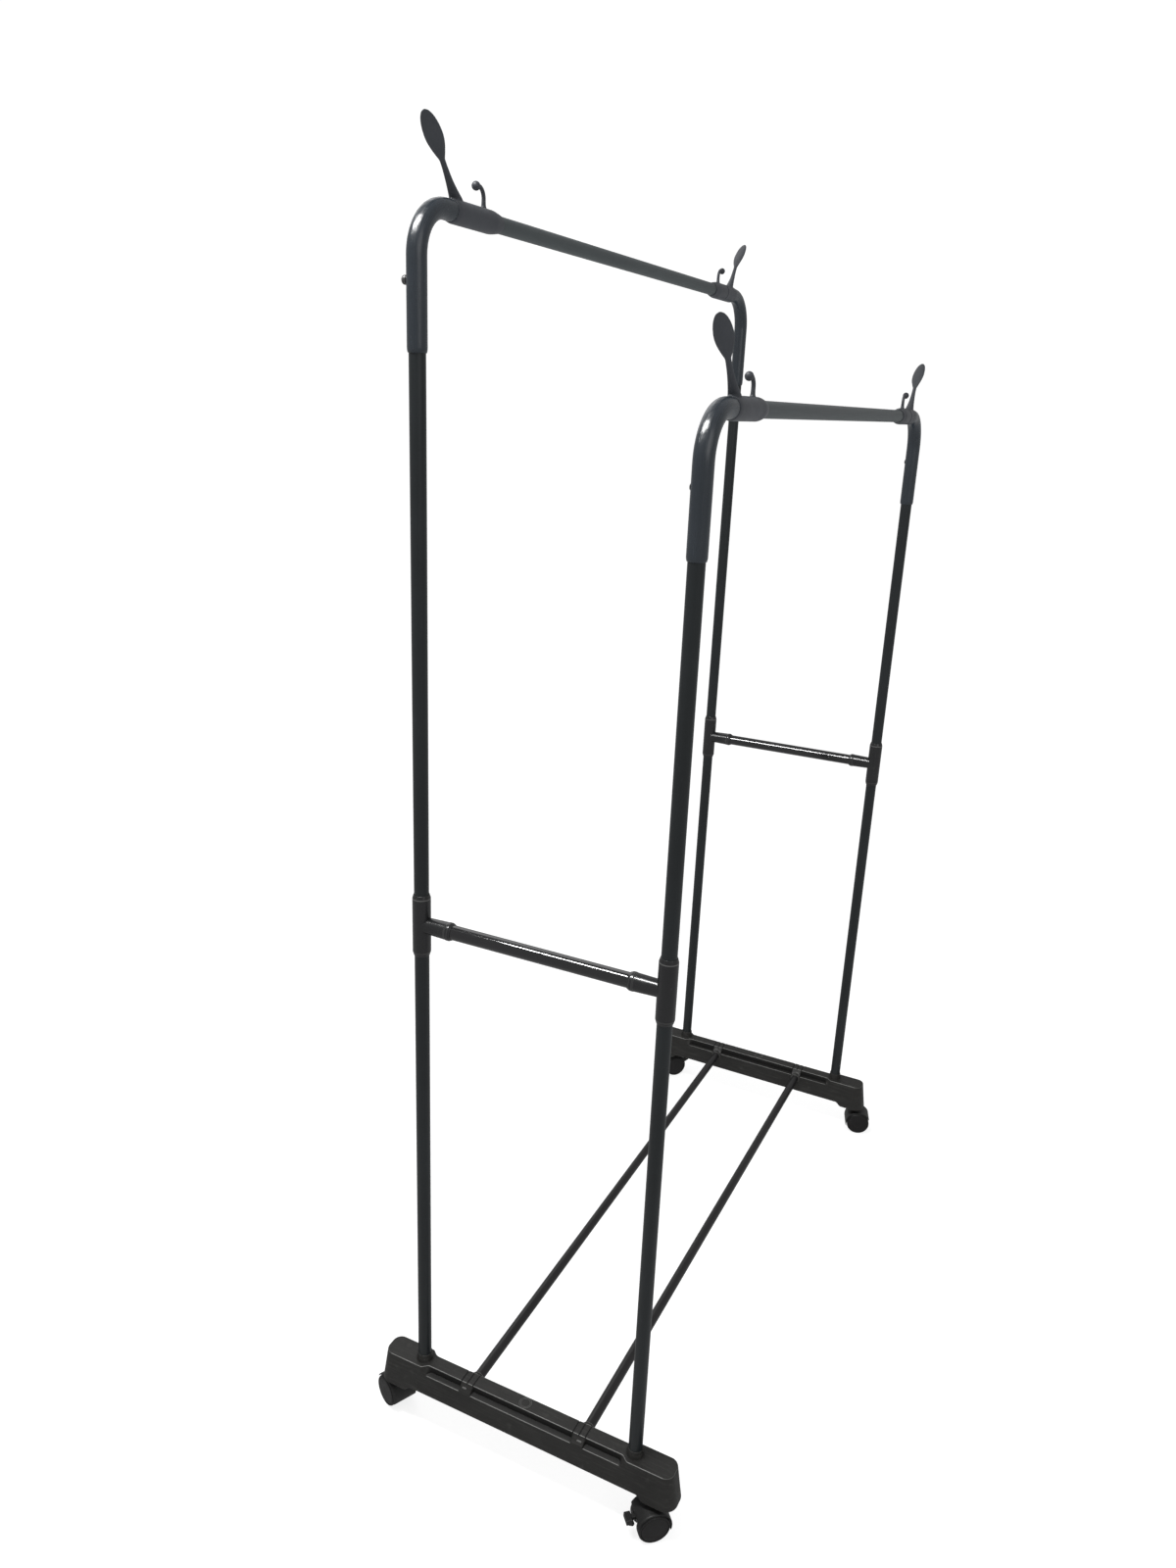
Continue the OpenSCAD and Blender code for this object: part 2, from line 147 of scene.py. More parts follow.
def tube_paint(name, colour, light, rough, peel=0.05, streak=0.0, spec=0.35, coat=0.0):
    """Powder coat on tube: orange peel, drawing streaks along the tube, handling marks and a little dust."""
    dust_colour = rgb(0.11, 0.11, 0.105)
    scuff_colour = rgb(*[c * 1.6 + 0.01 for c in light])

    def build(n):
        tube = n.add("ShaderNodeAttribute", {"attribute_name": "tube"}).outputs["Vector"]
        place = n.add("ShaderNodeTexCoord").outputs["Object"]
        broad = n.noise(place, scale=9.0, detail=4.0)
        speck = n.noise(tube, scale=1400.0, detail=2.0, rough=0.6)
        grain = n.noise(tube, scale=700.0, detail=2.0, rough=0.5)
        drawn = n.noise(tube, scale=1.0, detail=4.0, rough=0.65, stretch=(900.0, 900.0, 14.0))
        scuff = n.noise(tube, scale=1.0, detail=5.0, rough=0.7, stretch=(260.0, 260.0, 60.0))
        scuffed = n.span(scuff, 0.0, 1.0, from_low=0.62, from_high=0.74)
        body = n.mix(n.span(broad, 0.0, 1.0), rgb(*colour), rgb(*light))
        body = n.mix(n.math("MULTIPLY", scuffed, 0.35), body, scuff_colour)
        dust = n.span(speck, 0.0, 0.5, from_low=0.72, from_high=0.8)
        body = n.mix(dust, body, dust_colour)
        worn = n.math("ADD", n.math("MULTIPLY", drawn, 0.6), n.math("MULTIPLY", broad, 0.4))
        gloss = n.math("ADD", n.span(worn, *rough), n.math("MULTIPLY", scuffed, 0.08))
        height = n.math("ADD", n.math("MULTIPLY", grain, peel), n.math("MULTIPLY", drawn, streak))
        bump = n.add("ShaderNodeBump", Height=height, Strength=1.0, Distance=0.0004)
        return {"Base Color": body, "Roughness": gloss, "Normal": bump.outputs[0]}

    extra = {"Coat_Weight": coat, "Coat_Roughness": 0.08} if coat else {}
    return finish_material(name, build, IOR=1.5, Specular_IOR_Level=spec, **extra)


def moulded(name, colour, light, rough, grain=0.12, flow=0.0, spec=0.3):
    """Moulded plastic: spark-eroded grain and soft flow lines with a painted sheen. The mesh's own "edge"
    attribute marks rubbed edges with a painted highlight above 0, and painted shade in grooves, seams and
    recesses below 0."""
    # flow lines painted lighter than the plastic: real flow marks with a painted sheen on them
    flow_sheen_colour = rgb(*[c * 2.3 for c in light])
    dull_colour = rgb(0.075, 0.075, 0.07)
    # rubbed edges: worn whitening plus a painted highlight
    rub_and_highlight_colour = rgb(0.36, 0.36, 0.35)
    painted_shade_colour = rgb(0.002, 0.002, 0.002)
    flow_share = 0.55 * min(1.0, flow * 8)

    def build(n):
        place = n.add("ShaderNodeTexCoord").outputs["Object"]
        edge = n.add("ShaderNodeAttribute", {"attribute_name": "edge"}).outputs["Fac"]
        broad = n.noise(place, scale=14.0, detail=4.0)
        fine = n.noise(place, scale=1500.0, detail=3.0, rough=0.6)
        cells = n.add("ShaderNodeTexVoronoi", Vector=place, Scale=1100.0).outputs["Distance"]
        lines = n.noise(place, scale=1.0, detail=4.0, rough=0.6, stretch=(420.0, 26.0, 420.0))
        patch = n.noise(place, scale=60.0, detail=5.0, rough=0.65)
        body = n.mix(n.span(broad, 0.0, 1.0), rgb(*colour), rgb(*light))
        body = n.mix(n.span(lines, 0.0, flow_share, from_low=0.5, from_high=0.75), body, flow_sheen_colour)
        body = n.mix(n.span(patch, 0.0, 0.3, from_low=0.6, from_high=0.75), body, dull_colour)
        patchy = n.span(patch, 0.55, 1.0, from_low=0.3, from_high=0.6)
        body = n.mix(n.math("MULTIPLY", n.math("MAXIMUM", edge, 0.0), patchy), body, rub_and_highlight_colour)
        # painted shade in grooves, seams and recesses, where the edge attribute is below 0
        sunk = n.math("MULTIPLY", n.math("MINIMUM", edge, 0.0), -1.0)
        body = n.mix(sunk, body, painted_shade_colour)
        gloss = n.math("SUBTRACT", n.span(patch, *rough), n.math("MULTIPLY", edge, 0.1))
        height = n.math("ADD", n.math("MULTIPLY", fine, grain), n.math("MULTIPLY", cells, grain * 0.8))
        height = n.math("ADD", height, n.math("MULTIPLY", lines, flow))
        bump = n.add("ShaderNodeBump", Height=height, Strength=1.0, Distance=0.0004)
        return {"Base Color": body, "Roughness": gloss, "Normal": bump.outputs[0]}

    return finish_material(name, build, IOR=1.5, Specular_IOR_Level=spec)


def plated(name):
    """Turned steel with a thin plating."""

    def build(n):
        place = n.add("ShaderNodeTexCoord").outputs["Object"]
        turned = n.noise(place, scale=1.0, detail=3.0, rough=0.6, stretch=(300.0, 300.0, 3000.0))
        broad = n.noise(place, scale=60.0, detail=3.0)
        body = n.mix(n.span(broad, 0.0, 1.0), rgb(0.42, 0.42, 0.43), rgb(0.58, 0.58, 0.6))
        bump = n.add("ShaderNodeBump", Height=turned, Strength=0.5, Distance=0.0002)
        return {"Base Color": body, "Roughness": n.span(turned, 0.25, 0.4), "Normal": bump.outputs[0]}

    return finish_material(name, build, Metallic=1.0)


PAINTS = {
    "post_tube": dict(colour=(0.0088, 0.011, 0.0122), light=(0.0125, 0.0158, 0.0178), rough=(0.3, 0.42)),
    "gloss_tube": dict(
        colour=(0.006, 0.006, 0.007),
        light=(0.009, 0.009, 0.01),
        rough=(0.06, 0.09),
        peel=0.0,
        spec=0.5,
        coat=0.5,
    ),
    "rod_tube": dict(colour=(0.011, 0.0105, 0.011), light=(0.017, 0.016, 0.017), rough=(0.26, 0.36)),
    # its tone, lighter and bluer than the posts' same paint, is a painted sheen of the light on the upper
    # tubes
    "corner_tube": dict(
        colour=(0.0145, 0.0195, 0.0255),
        light=(0.02, 0.0265, 0.0345),
        rough=(0.2, 0.32),
        peel=0.03,
        streak=0.42,
        spec=0.55,
    ),
    "rail_tube": dict(
        colour=(0.036, 0.044, 0.047),
        light=(0.047, 0.057, 0.06),
        rough=(0.38, 0.5),
        streak=0.03,
    ),
}
PLASTICS = {
    "base_plastic": dict(
        colour=(0.0112, 0.0108, 0.0098),
        light=(0.0168, 0.0163, 0.015),
        rough=(0.46, 0.6),
        grain=0.18,
        flow=0.14,
        spec=0.32,
    ),
    "tee_plastic": dict(
        colour=(0.009, 0.009, 0.01),
        light=(0.013, 0.0135, 0.0145),
        rough=(0.18, 0.27),
        grain=0.03,
        spec=0.5,
    ),
    "hook_plastic": dict(
        colour=(0.036, 0.039, 0.046),
        light=(0.047, 0.051, 0.059),
        rough=(0.4, 0.52),
        grain=0.08,
    ),
    "screw_black": dict(
        colour=(0.009, 0.009, 0.01),
        light=(0.014, 0.014, 0.016),
        rough=(0.3, 0.45),
        grain=0.05,
        spec=0.5,
    ),
    "caster_plastic": dict(
        colour=(0.012, 0.012, 0.012),
        light=(0.018, 0.018, 0.0175),
        rough=(0.42, 0.55),
        grain=0.1,
    ),
    "wheel_plastic": dict(
        colour=(0.0062, 0.0058, 0.006),
        light=(0.01, 0.0093, 0.0097),
        rough=(0.4, 0.54),
        spec=0.26,
    ),
}
MATERIALS = {name: tube_paint(name, **look) for name, look in PAINTS.items()}
MATERIALS |= {name: moulded(name, **look) for name, look in PLASTICS.items()}
MATERIALS["bare_steel"] = plated("bare_steel")

# ---------------------------------------------------------------- mesh tools


def set_vectors(mesh, name, values):
    made = mesh.attributes.new(name, "FLOAT_VECTOR", "POINT")
    made.data.foreach_set("vector", np.asarray(values, np.float32).ravel())


def set_floats(mesh, name, values):
    made = mesh.attributes.new(name, "FLOAT", "POINT")
    made.data.foreach_set("value", np.asarray(values, np.float32).ravel())


def new_object(name, data):
    """An object in the scene that holds a mesh, a light or a camera."""
    obj = bpy.data.objects.new(name, data)
    bpy.context.scene.collection.objects.link(obj)
    return obj


def shade(obj, angle=38.0, weighted=True):
    obj.data.shade_smooth()
    obj.data.set_sharp_from_angle(angle=math.radians(angle))
    if weighted:
        mod = obj.modifiers.new("weighted", "WEIGHTED_NORMAL")
        mod.keep_sharp = True
    return obj


def mend(mesh, weld=0.0):
    """Welds vertices closer than weld, and turns all faces outwards."""
    bm = bmesh.new()
    bm.from_mesh(mesh)
    if weld:
        bmesh.ops.remove_doubles(bm, verts=bm.verts, dist=weld)
    bmesh.ops.recalc_face_normals(bm, faces=bm.faces)
    bm.to_mesh(mesh)
    bm.free()
    return mesh


def grid_mesh(name, rings, closed_ends=True, around=True):
    """Rings of equal length as an (r, n, 3) array, joined with quads; the ends close with a fan."""
    rings = np.asarray(rings, float)
    r, n = rings.shape[:2]
    verts = rings.reshape(-1, 3).tolist()
    faces = []
    last = n if around else n - 1
    for i in range(r - 1):
        for j in range(last):
            k = (j + 1) % n
            faces.append((i * n + j, i * n + k, (i + 1) * n + k, (i + 1) * n + j))
    if closed_ends:
        for i in (0, r - 1):
            verts.append(rings[i].mean(0).tolist())
            c = len(verts) - 1
            for j in range(n):
                k = (j + 1) % n
                faces.append((c, i * n + k, i * n + j) if i == 0 else (c, i * n + j, i * n + k))
    mesh = bpy.data.meshes.new(name)
    mesh.from_pydata(verts, [], faces)
    return mend(mesh)


def basis(axis):
    """Two unit vectors square to an axis."""
    axis = Vector(axis).normalized()
    side = Vector((0, 0, 1)) if abs(axis.z) < 0.9 else Vector((1, 0, 0))
    u = side.cross(axis).normalized()
    return u, axis.cross(u).normalized()


def in_mm(*points):
    """(radius, height) points in mm as lathe's (radius, height, edge) points in metres."""
    return [(r * MM, h * MM, 0) for r, h in points]


def lathe(name, profile, origin, axis, n=64):
    """Turns (radius, height, edge) points round an axis. Radii of 0 close to a point."""
    axis = Vector(axis).normalized()
    u, v = basis(axis)
    origin = Vector(origin)
    angles = np.linspace(0, 2 * math.pi, n, endpoint=False)
    rings, edges, tube = [], [], []
    for r, h, e in profile:
        r = max(r, 1e-6)
        rings.append([origin + axis * h + u * (r * math.cos(a)) + v * (r * math.sin(a)) for a in angles])
        edges += [e] * n
        tube += [(r * math.cos(a), r * math.sin(a), h) for a in angles]
    mesh = grid_mesh(name, rings, closed_ends=False)
    set_floats(mesh, "edge", edges)
    set_vectors(mesh, "tube", tube)
    return mend(mesh, weld=5e-6)


def rounded(points, radius=0.0006, steps=3, edge=0.0):
    """Rounds the corners of an open (r, h) outline. Each new corner's middle gets the edge value: rub wear
    with a painted highlight.
    """
    out = [(points[0][0], points[0][1], 0.0)]
    for a, b, c in zip(points, points[1:], points[2:]):
        a, b, c = Vector(a), Vector(b), Vector(c)
        d1, d2 = (a - b).length, (c - b).length
        cut = min(radius, d1 * 0.45, d2 * 0.45)
        p, q = b + (a - b) * (cut / d1), b + (c - b) * (cut / d2)
        for i in range(steps + 1):
            t = i / steps
            m = p * (1 - t) ** 2 + b * 2 * t * (1 - t) + q * t * t
            out.append((m.x, m.y, edge * math.sin(math.pi * t)))
    out.append((points[-1][0], points[-1][1], 0.0))
    return out


def sweep(name, path, radii, n=48):
    """A round bar along a path that lies in one plane, with a radius at each point."""
    path = [Vector(p) for p in path]
    tangents = []
    for i in range(len(path)):
        a, b = path[max(i - 1, 0)], path[min(i + 1, len(path) - 1)]
        tangents.append((b - a).normalized())
    flat = next((a.cross(b) for a, b in zip(tangents, tangents[1:]) if a.cross(b).length > 1e-4), None)
    v = flat.normalized() if flat else basis(tangents[0])[1]
    rings, tube, run = [], [], 0.0
    angles = np.linspace(0, 2 * math.pi, n, endpoint=False)
    for i, (p, t) in enumerate(zip(path, tangents)):
        u = v.cross(t).normalized()
        if i:
            run += (p - path[i - 1]).length
        r = radii[i]
        rings.append([p + u * (r * math.cos(a)) + v * (r * math.sin(a)) for a in angles])
        tube += [(r * math.cos(a), r * math.sin(a), run) for a in angles]
    mesh = grid_mesh(name, rings)
    tube += [(0, 0, 0), (0, 0, run)]
    set_vectors(mesh, "tube", tube)
    return mesh


def joined(name, meshes):
    """Several meshes as one, with their point attributes kept."""
    objects = [new_object(f"{name}_{i}", m) for i, m in enumerate(meshes)]
    bpy.context.view_layer.update()
    with bpy.context.temp_override(active_object=objects[0], selected_editable_objects=objects):
        bpy.ops.object.join()
    objects[0].name = name
    return objects[0]


def applied(obj):
    """Applies all of an object's modifiers."""
    graph = bpy.context.evaluated_depsgraph_get()
    mesh = bpy.data.meshes.new_from_object(obj.evaluated_get(graph))
    obj.modifiers.clear()
    old, obj.data = obj.data, mesh
    bpy.data.meshes.remove(old)
    return obj


def combine(name, main, others, operation="UNION"):
    """Boolean of one mesh with others, applied."""
    obj = new_object(name, main)
    for i, mesh in enumerate(others):
        tool = new_object(f"{name}_tool{i}", mesh)
        mod = obj.modifiers.new("combine", "BOOLEAN")
        mod.operation, mod.solver, mod.object = operation, "EXACT", tool
        bpy.context.view_layer.update()
        applied(obj)
        bpy.data.objects.remove(tool)
    return obj


def cast(name, meshes, voxel, smooth):
    """Melts overlapping closed meshes into one moulded piece with soft fillets."""
    obj = joined(name, meshes)
    mod = obj.modifiers.new("remesh", "REMESH")
    mod.mode, mod.voxel_size, mod.adaptivity = "VOXEL", voxel, 0.0
    soft = obj.modifiers.new("soften", "SMOOTH")
    soft.factor, soft.iterations = 0.5, smooth
    bpy.context.view_layer.update()
    applied(obj)
    obj.data.shade_smooth()
    return obj


def show(obj, body, nodes, slot):
    """Gives a piece its material, the body that carries it and the CAD nodes it stands for."""
    obj.data.materials.clear()
    obj.data.materials.append(MATERIALS[slot])
    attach(obj, body)
    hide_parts(*nodes)
    return obj


def box_mesh(name, low, high, bevel=0.0, rotate=None):
    """A box between two corners, bevelled, then moved by a matrix."""
    bm = bmesh.new()
    bmesh.ops.create_cube(bm, size=1.0)
    low, high = Vector(low), Vector(high)
    size, mid = high - low, (high + low) / 2
    for v in bm.verts:
        v.co = Vector((v.co.x * size.x, v.co.y * size.y, v.co.z * size.z)) + mid
    if bevel:
        bmesh.ops.bevel(bm, geom=bm.edges, offset=bevel, segments=3, affect="EDGES", profile=0.5)
    if rotate:
        bm.transform(rotate)
    mesh = bpy.data.meshes.new(name)
    bm.to_mesh(mesh)
    bm.free()
    return mesh


# ---------------------------------------------------------------- tubes


def straight(name, node, axis, body, slot):
    """A straight tube the length of its CAD node."""
    low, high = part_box(node)
    r = thickness(node, *[i for i in range(3) if i != axis])
    mid = (low + high) / 2
    a, b = mid.copy(), mid.copy()
    a[axis], b[axis] = low[axis], high[axis]
    count = 24
    path = [a.lerp(b, i / count) for i in range(count + 1)]
    obj = new_object(name, sweep(name, path, [r] * len(path)))
    shade(obj, 50, weighted=False)
    return show(obj, body, [node], slot)


for end in ENDS:
    straight(f"bar_{end}", f"crossbar_{end}", 1, "frame", "gloss_tube")
for side in SIDES:
    straight(f"rod_{side}", f"floor_rod_{side}", 0, "frame", "rod_tube")
for level in LEVEL.values():
    straight(f"hanging_{level}", f"rail_{level}", 0, f"{level}_rail_set", "rail_tube")
for end, side in CORNERS:
    for part in ("lower", "upper"):
        straight(f"post_{part}_{end}_{side}", f"{part}_post_{end}_{side}", 2, "frame", "post_tube")

BEND = 50 * MM  # radius of the corner tubes' centre line
# the rolled-in mouth at a corner tube's foot: height above it, change of radius, in mm
MOUTH = ((0.0, -1.1), (0.4, -0.75), (1.4, -0.45), (2.8, -0.16), (4.0, -0.03), (5.2, 0.0), (8.0, 0.0))


def slacken(obj, pivot, ex):
    """Flattens the outside of a bend a little, with faint creases, as in drawn tube."""
    flat, creases, ripples = 0.35, 0.10, 0.06
    co = np.array([v.co for v in obj.data.vertices])
    ring = co - np.array(pivot)
    turn = np.arctan2(ring[:, 2], ring[:, 0] * ex)
    inside = np.clip(np.sin(np.clip(turn, 0, math.pi / 2) * 2), 0, 1) ** 0.7
    inside *= (ring[:, 0] * ex > 0) & (ring[:, 2] > 0)
    far_out = np.clip((np.hypot(ring[:, 0], ring[:, 2]) - BEND) / ELBOW_R, 0, 1)
    crease = creases * np.sin(turn * 34 + 2 * ring[:, 1] / ELBOW_R) + ripples * np.sin(turn * 57)
    move = -(flat + crease) * MM * inside * far_out**2
    out = ring.copy()
    out[:, 1] = 0
    out /= np.maximum(np.linalg.norm(out, axis=1), 1e-9)[:, None]
    co += out * move[:, None]
    obj.data.vertices.foreach_set("co", co.astype(np.float32).ravel())


def corner_tube(end, side):
    """From the mouth over the post, up, round the bend and in to the rail."""
    node, ex = f"elbow_{end}_{side}", ENDS[end]
    low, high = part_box(node)
    y = (low.y + high.y) / 2
    z = high.z - ELBOW_R
    x = high.x - ELBOW_R if ex > 0 else low.x + ELBOW_R
    inner = low.x if ex > 0 else high.x
    leg_steps, bend_steps, arm_steps = 11, 30, 5
    lip = MOUTH[-1][0] * MM
    path = [(x, y, low.z + h * MM) for h, _ in MOUTH]
    radii = [ELBOW_R + change * MM for _, change in MOUTH]
    for i in range(1, leg_steps + 1):
        path.append((x, y, low.z + lip + (z - BEND - low.z - lip) * i / leg_steps))
    for i in range(1, bend_steps + 1):
        a = math.radians(90 * i / bend_steps)
        path.append((x - ex * BEND * (1 - math.cos(a)), y, z - BEND + BEND * math.sin(a)))
    for i in range(1, arm_steps + 1):
        path.append((x - ex * BEND + (inner - x + ex * BEND) * i / arm_steps, y, z))
    radii += [ELBOW_R] * (len(path) - len(radii))
    obj = new_object(f"corner_{end}_{side}", sweep(node, path, radii, 64))
    slacken(obj, (x - ex * BEND, y, z - BEND), ex)
    shade(obj, 60, weighted=False)
    show(obj, f"{LEVEL[side]}_rail_set", [node], "corner_tube")


for end, side in CORNERS:
    corner_tube(end, side)

# ---------------------------------------------------------------- tees


def tee(end, side):
    """A sleeve on the post with a stub for the crossbar. Both open with a chamfered lip round the tube."""
    node, sy = f"tee_{end}_{side}", SIDES[side]
    low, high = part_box(node)
    z = (low.z + high.z) / 2
    x = (low.x + high.x) / 2
    r = (high.x - low.x) / 2
    y = high.y - r if sy > 0 else low.y + r
    half = (high.z - low.z) / 2
    reach = (high.y - low.y) - r
    lip = POST_R + 0.7 * MM
    bore = POST_R + 0.05 * MM
    recess = 2 * MM  # how far in the tube's mouth is closed
    outline = [
        (bore, -half + recess),
        (bore, -half),
        (lip, -half),
        (r - 0.1 * MM, -half + 4.6 * MM),
        (r, -half + 5.4 * MM),
        (r, half - 5.4 * MM),
        (r - 0.1 * MM, half - 4.6 * MM),
        (lip, half),
        (bore, half),
        (bore, half - recess),
    ]
    profile = [(0, -half + recess, 0)] + rounded(outline, 0.7 * MM, 3, 0.1) + [(0, half - recess, 0)]
    rim = half - 5.2 * MM  # a faint painted highlight line where the upper chamfer starts
    profile = [(a, h, 0.32 if abs(h - rim) < 0.5 * MM else e) for a, h, e in profile]
    sleeve = lathe(node, profile, (x, y, z), UP)
    start = 1 * MM
    stub = [
        (r - 1.5 * MM, start),
        (r - 0.4 * MM, reach - 8 * MM),
        (r, reach - 6.6 * MM),
        (r, reach - 3.2 * MM),
        (lip, reach),
        (bore, reach),
        (bore, reach - recess),
    ]
    profile = [(0, start, 0)] + rounded(stub, 0.6 * MM, 3, 0.1) + [(0, reach - recess, 0)]
    arm = lathe(node, profile, (x, y, z), (0, -sy, 0))
    obj = combine(f"joint_{end}_{side}", sleeve, [arm])
    shade(obj, 40)
    show(obj, "frame", [node], "tee_plastic")


for end, side in CORNERS:
    tee(end, side)

# ---------------------------------------------------------------- hooks


def flat_sweep(name, rows, n=24, power=2.3):
    """A solid along (centre, across, through, half width, half thickness) rows, round-edged like a spoon."""
    rings = []
    for c, across, through, w, t in rows:
        ring = []
        for a in np.linspace(0, 2 * math.pi, n, endpoint=False):
            ca, sa = math.cos(a), math.sin(a)
            k = (abs(ca) ** power + abs(sa) ** power) ** (-1 / power)
            ring.append(Vector(c) + Vector(across) * (w * ca * k) + Vector(through) * (t * sa * k))
        rings.append(ring)
    return grid_mesh(name, rings)


def coat_hook(name, foot, ex, length, width, lean, turn):
    """Foot, neck and spoon-shaped paddle, leaning outwards, its face turned about its own length."""
    lean, turn = math.radians(lean), math.radians(turn)
    along = Vector((ex * math.sin(lean), 0, math.cos(lean)))
    back = Vector((ex * math.cos(lean), 0, -math.sin(lean)))
    level = Vector((0, 1, 0))
    across = level * math.cos(turn) + back * math.sin(turn)
    through = back * math.cos(turn) - level * math.sin(turn)
    neck_w, neck_k = 3.0, 2.1  # half width and half thickness of the neck, mm
    flare_w, flare_k = 4.0, 2.4  # what the foot adds to them
    paddle_w = width / MM / 2
    neck_end, widest = 0.45, 0.72  # shares of the length
    steps, buried = 60, 0.12  # the foot starts this share of the length inside the sleeve
    rows = []
    for i in range(steps + 1):
        t = -buried + (1 + buried) * i / steps
        s = max(t, 0.0)
        if s < neck_end:
            w = neck_w + flare_w * (1 - s / neck_end) ** 2
            k = neck_k + flare_k * (1 - s / neck_end) ** 3
        elif s < widest:
            w = neck_w + (paddle_w - neck_w) * math.sin(math.pi / 2 * (s - neck_end) / (widest - neck_end))
            k = neck_k
        else:
            q = (s - widest) / (1 - widest)
            w = max(paddle_w * math.sqrt(max(0.0, 1 - q * q)), 0.3)
            k = neck_k * math.sqrt(max(0.02, 1 - q**4))
        bow = -2.0 * MM * math.sin(math.pi * min(max((s - 0.2) / 0.8, 0), 1))
        rows.append((foot + along * (t * length) + through * bow, across, through, w * MM, k * MM))
    return flat_sweep(name, rows)


# the small hook's peg: height above the rail's axis, radius, in mm; its last radius is the wire's
PEG = ((6.0, 4.6), (9.5, 4.4), (11.0, 3.6), (12.5, 3.0), (14.5, 2.6), (17.5, 2.4), (21.0, 2.35))


def small_hook(name, base, ex):
    """A peg that rises from the sleeve and curls outwards to a ball."""
    path = [base + Vector((0, 0, h * MM)) for h, _ in PEG]
    radii = [r * MM for _, r in PEG]
    peg_top, wire = PEG[-1]
    curl, curl_angle, curl_steps = 11.0, 108, 18
    for i in range(1, curl_steps + 1):
        a = math.radians(180 - curl_angle * i / curl_steps)
        sideways = ex * (curl + curl * math.cos(a)) * MM
        path.append(base + Vector((sideways, 0, (peg_top + curl * math.sin(a)) * MM)))
        radii.append((wire - 0.1 * i / curl_steps) * MM)
    ball = base + Vector((ex * (curl + 4.6) * MM, 0, 31 * MM))
    ball_r = 4.8 * MM
    ball_steps = 20
    turns = [math.pi * i / ball_steps for i in range(ball_steps + 1)]
    profile = [(ball_r * math.sin(a), -ball_r * math.cos(a), 0) for a in turns]
    return [sweep(name, path, radii, 20), lathe(name, profile, ball, UP, 32)]


def hook_sleeve(end, side):
    """The plastic sleeve that joins corner tube and rail, with its coat hook and its small hook."""
    node, ex, level = f"hook_sleeve_{end}_{side}", ENDS[end], LEVEL[side]
    low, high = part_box(node)
    rail_low, rail_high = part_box(f"rail_{level}")
    post = abs(centre(f"upper_post_{end}_{side}").x)
    y, z = (rail_low.y + rail_high.y) / 2, (rail_low.z + rail_high.z) / 2
    r = (high.y - low.y) / 2
    bore = RAIL_R + 0.15 * MM
    mouth = ELBOW_R - 0.1 * MM
    recess = 3 * MM
    start = post - 155 * MM
    stop = post - 60 * MM
    outline = [
        (bore, start + recess),
        (bore, start),
        (bore + 0.65 * MM, start),
        (r - 1.4 * MM, start + 6 * MM),
        (r - 0.4 * MM, start + 12.5 * MM),
        (r, start + 17 * MM),
        (r, stop - 6 * MM),
        (r - 0.6 * MM, stop - 2 * MM),
        (mouth, stop),
        (mouth, stop - recess),
    ]
    if end == "far":  # a shallow ring between the two hooks, seen in the photo on the far sleeves
        ring, sunk = post - 106 * MM, r - 0.8 * MM
        groove = [(r, ring - 2 * MM), (sunk, ring - 1.7 * MM), (sunk, ring + 1.7 * MM), (r, ring + 2 * MM)]
        outline[6:6] = groove
    profile = [(0, start + recess, 0)] + rounded(outline, 0.8 * MM, 3, 0.0) + [(0, stop - recess, 0)]
    body = lathe(node, profile, (0, y, z), (ex, 0, 0), 72)
    foot = Vector((ex * (post - 72 * MM), y, z + 11 * MM))
    peg = Vector((ex * (post - 126.5 * MM), y, z))
    paddle = coat_hook(node, foot, ex, length=92 * MM, width=20 * MM, lean=39, turn=18)
    meshes = [body, paddle] + small_hook(node, peg, ex)
    obj = cast(f"hooks_{end}_{side}", meshes, voxel=0.55 * MM, smooth=8)
    show(obj, f"{level}_rail_set", [node], "hook_plastic")


for end, side in CORNERS:
    hook_sleeve(end, side)

# ---------------------------------------------------------------- screws


def lock_screw(end, side):
    """A domed head with a cross slot on a short neck that stands in the corner tube's hole."""
    node = f"lock_screw_{end}_{side}"
    low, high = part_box(node)
    x, z = (low.x + high.x) / 2, (low.z + high.z) / 2
    r, depth = (high.x - low.x) / 2, high.y - low.y
    neck = 1.55 * MM
    head = depth - neck
    proud = depth > 4 * MM
    outline = [(2 * MM, 0), (2 * MM, neck)]
    for width, height in ((0.78, 0), (1, 0.28), (1, 0.58), (0.9, 0.8), (0.55, 0.97)):
        outline.append((r * width, neck + head * height))
    outline.append((0.0005 * MM, neck + head))
    profile = [(0, 0, 0)] + rounded(outline, 0.5 * MM, 4, 0.5)
    main = lathe(node, profile, (x, low.y, z), (0, 1, 0), 48)
    cut = r * (0.5 if proud else 0.55)
    wide = 0.45 * MM
    deep = high.y - 0.7 * MM
    clear = high.y + 10 * MM
    slots = [
        box_mesh(node, (x - cut, deep, z - wide), (x + cut, clear, z + wide)),
        box_mesh(node, (x - wide, deep, z - cut), (x + wide, clear, z + cut)),
    ]
    obj = combine(f"screw_{end}_{side}", main, slots, "DIFFERENCE")
    shade(obj, 35)
    show(obj, f"screw_{end}_{side}", [node], "screw_black")


for end, side in CORNERS:
    lock_screw(end, side)

# ---------------------------------------------------------------- bases

# heights of the base bar, in mm above the floor, as the CAD has them
FOOT_Z, PLATE_Z = 54.0, 103.0
# along the bar, in mm from its middle: the rods, and the neck where the plate widens into the end blocks
ROD_Y, NECK_A, NECK_B = 85.0, 146.0, 157.0
GROOVES = (ROD_Y - 9, ROD_Y, ROD_Y + 9)  # fine lines across the plate above each rod


def smooth_step(a, b, x):
    t = min(max((x - a) / (b - a), 0.0), 1.0)
    return t * t * (3 - 2 * t)


